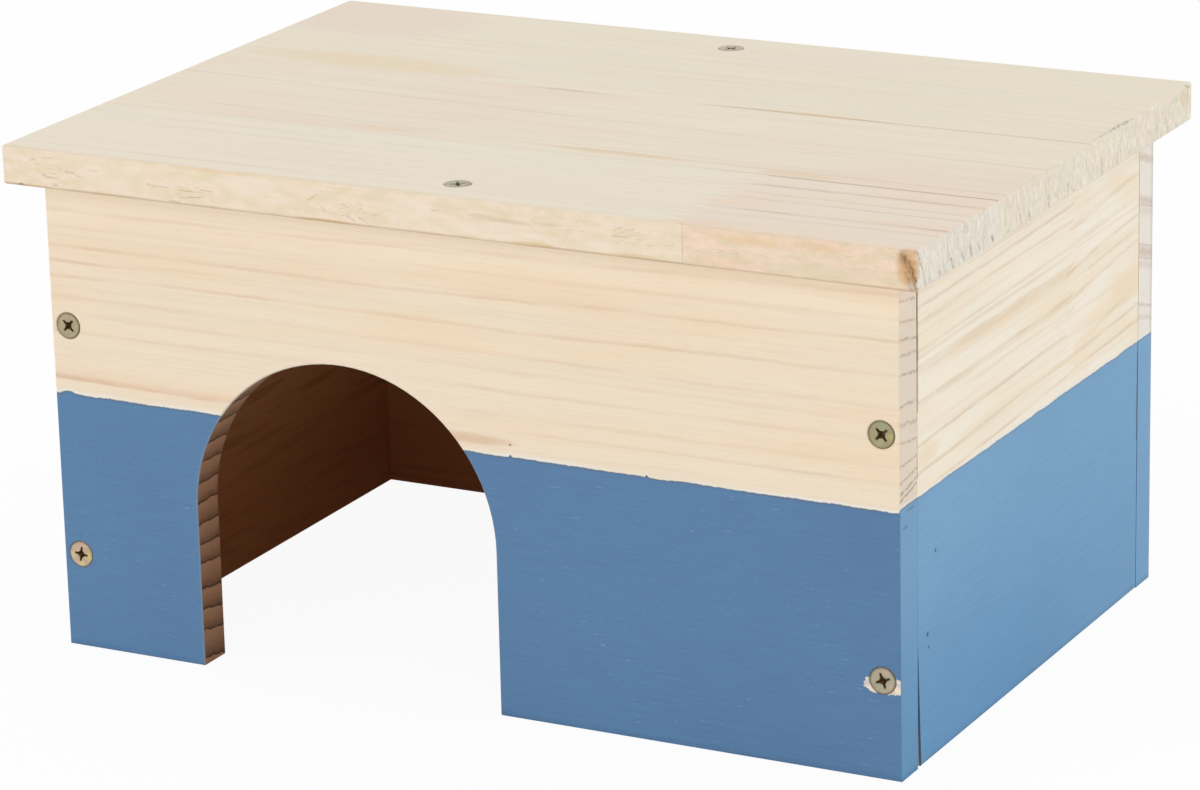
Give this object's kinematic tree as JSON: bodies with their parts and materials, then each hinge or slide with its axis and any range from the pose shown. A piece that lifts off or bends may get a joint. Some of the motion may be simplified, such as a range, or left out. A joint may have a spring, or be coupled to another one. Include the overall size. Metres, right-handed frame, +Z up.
{
  "type": "wooden hamster house",
  "caption": "Bottomless pine box with an arched entrance and a flat screwed-on roof that overhangs all round, its walls painted blue on their lower half. A hideout for a hamster.",
  "frame": {"origin": "middle of the footprint, at the level of the floor the house stands on", "axes": "+X to the right along the front board, +Y from the front board to the back board, +Z up"},
  "size_m": [0.26, 0.18, 0.139],
  "materials": {
    "painted_pine": "planed pine, bare at the top, matt blue paint from the floor up to 70.5 mm",
    "bare_pine": "planed and sanded, no finish",
    "screw_steel": "yellow zinc plated"
  },
  "bodies": {
    "root": {"front_board": "painted_pine", "back_board": "painted_pine", "left_side_board": "painted_pine", "right_side_front_length": "painted_pine", "right_side_back_length": "painted_pine", "roof_front_stave_left": "bare_pine", "roof_front_stave_right": "bare_pine", "roof_middle_stave": "bare_pine", "roof_back_stave": "bare_pine", "front_screw_upper_left": "screw_steel", "front_screw_lower_left": "screw_steel", "front_screw_upper_right": "screw_steel", "front_screw_lower_right": "screw_steel", "back_screw_upper_left": "screw_steel", "back_screw_lower_left": "screw_steel", "back_screw_upper_right": "screw_steel", "back_screw_lower_right": "screw_steel", "roof_screw_front": "screw_steel", "roof_screw_back": "screw_steel"}
  },
  "joints": []
}
